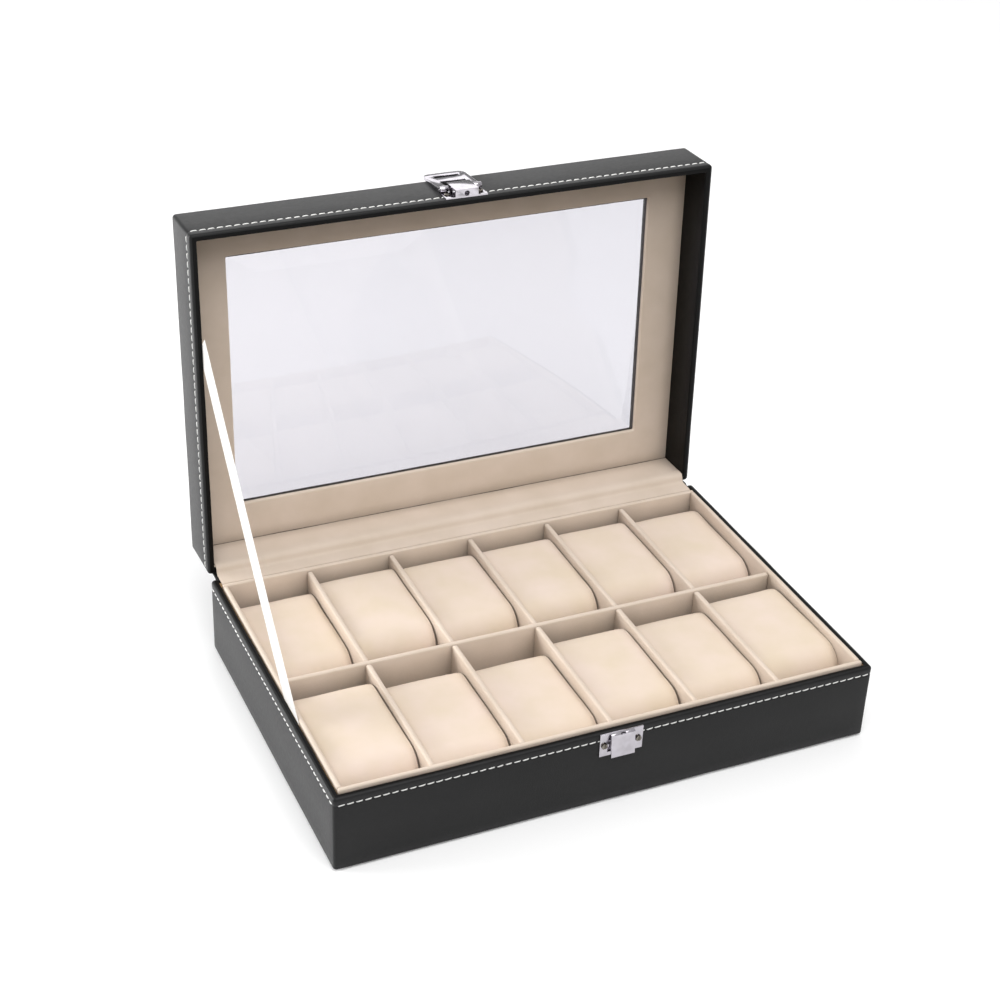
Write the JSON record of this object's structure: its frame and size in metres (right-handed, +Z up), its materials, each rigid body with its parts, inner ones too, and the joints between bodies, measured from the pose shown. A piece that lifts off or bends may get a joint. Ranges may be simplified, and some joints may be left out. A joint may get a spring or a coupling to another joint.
{
  "type": "watch box",
  "caption": "Hinged leather-covered watch box with a glass window lid, velvet-lined compartments, lift-out watch pillows, a folding clasp and a stay ribbon",
  "frame": {"origin": "centre of the underside of the base", "axes": "+X right along the front, +Y to the back where the hinge is, +Z up"},
  "size_m": [0.3, 0.2517, 0.2496],
  "materials": {
    "black_leather": "pebbled, semi-matt",
    "board": "raw fibreboard",
    "velvet": "short pile",
    "pillow_cloth": "short pile over filling",
    "felt": "felt",
    "thread": "waxed thread",
    "ribbon": "satin",
    "nickel": "polished",
    "glass": "clear"
  },
  "bodies": {
    "base": {"base_floor_board": "board", "base_front_board": "board", "base_back_board": "board", "base_left_board": "board", "base_right_board": "board", "base_leather_wrap": "black_leather", "base_stitching": "thread", "base_felt": "felt", "tray_floor": "velvet", "tray_wall_front": "velvet", "tray_wall_back": "velvet", "tray_wall_left": "velvet", "tray_wall_right": "velvet", "long_divider": "velvet", "cross_divider_1": "velvet", "cross_divider_2": "velvet", "cross_divider_3": "velvet", "cross_divider_4": "velvet", "cross_divider_5": "velvet", "keeper_plate": "nickel", "keeper_screws": "nickel", "hinge_spine": "black_leather", "hinge_velvet": "velvet", "stay_ribbon": "ribbon"},
    "lid": {"lid_front_board": "board", "lid_back_board": "board", "lid_left_board": "board", "lid_right_board": "board", "lid_window_board": "board", "lid_leather_wrap": "black_leather", "lid_stitching": "thread", "lid_top_leather": "black_leather", "lid_back_velvet": "velvet", "glass_pane": "glass", "window_velvet_frame": "velvet", "clasp_plate": "nickel", "clasp_pin": "nickel", "clasp_screws": "nickel"},
    "flap": {"clasp_flap": "nickel"},
    "cushion_01": {"pillow_01": "pillow_cloth"},
    "cushion_02": {"pillow_02": "pillow_cloth"},
    "cushion_03": {"pillow_03": "pillow_cloth"},
    "cushion_04": {"pillow_04": "pillow_cloth"},
    "cushion_05": {"pillow_05": "pillow_cloth"},
    "cushion_06": {"pillow_06": "pillow_cloth"},
    "cushion_07": {"pillow_07": "pillow_cloth"},
    "cushion_08": {"pillow_08": "pillow_cloth"},
    "cushion_09": {"pillow_09": "pillow_cloth"},
    "cushion_10": {"pillow_10": "pillow_cloth"},
    "cushion_11": {"pillow_11": "pillow_cloth"},
    "cushion_12": {"pillow_12": "pillow_cloth"}
  },
  "joints": [
    {"name": "lid_hinge", "type": "hinge", "parent": "base", "child": "lid", "pos_m": [0, 0.1023, 0.04285], "axis": [-1, 0, 0], "range_deg": [-91.9, 0], "deforming": ["hinge_spine", "hinge_velvet", "stay_ribbon"]},
    {"name": "clasp_hinge", "type": "hinge", "parent": "lid", "child": "flap", "pos_m": [0.002, 0.12204, 0.24721], "axis": [-1, 0, 0], "range_deg": [-178.2, 0]},
    {"name": "pillow_01_lift", "type": "slide", "parent": "base", "child": "cushion_01", "axis": [0, 0, 1], "range_m": [0, 0.06]},
    {"name": "pillow_02_lift", "type": "slide", "parent": "base", "child": "cushion_02", "axis": [0, 0, 1], "range_m": [0, 0.06]},
    {"name": "pillow_03_lift", "type": "slide", "parent": "base", "child": "cushion_03", "axis": [0, 0, 1], "range_m": [0, 0.06]},
    {"name": "pillow_04_lift", "type": "slide", "parent": "base", "child": "cushion_04", "axis": [0, 0, 1], "range_m": [0, 0.06]},
    {"name": "pillow_05_lift", "type": "slide", "parent": "base", "child": "cushion_05", "axis": [0, 0, 1], "range_m": [0, 0.06]},
    {"name": "pillow_06_lift", "type": "slide", "parent": "base", "child": "cushion_06", "axis": [0, 0, 1], "range_m": [0, 0.06]},
    {"name": "pillow_07_lift", "type": "slide", "parent": "base", "child": "cushion_07", "axis": [0, 0, 1], "range_m": [0, 0.06]},
    {"name": "pillow_08_lift", "type": "slide", "parent": "base", "child": "cushion_08", "axis": [0, 0, 1], "range_m": [0, 0.06]},
    {"name": "pillow_09_lift", "type": "slide", "parent": "base", "child": "cushion_09", "axis": [0, 0, 1], "range_m": [0, 0.06]},
    {"name": "pillow_10_lift", "type": "slide", "parent": "base", "child": "cushion_10", "axis": [0, 0, 1], "range_m": [0, 0.06]},
    {"name": "pillow_11_lift", "type": "slide", "parent": "base", "child": "cushion_11", "axis": [0, 0, 1], "range_m": [0, 0.06]},
    {"name": "pillow_12_lift", "type": "slide", "parent": "base", "child": "cushion_12", "axis": [0, 0, 1], "range_m": [0, 0.06]}
  ]
}
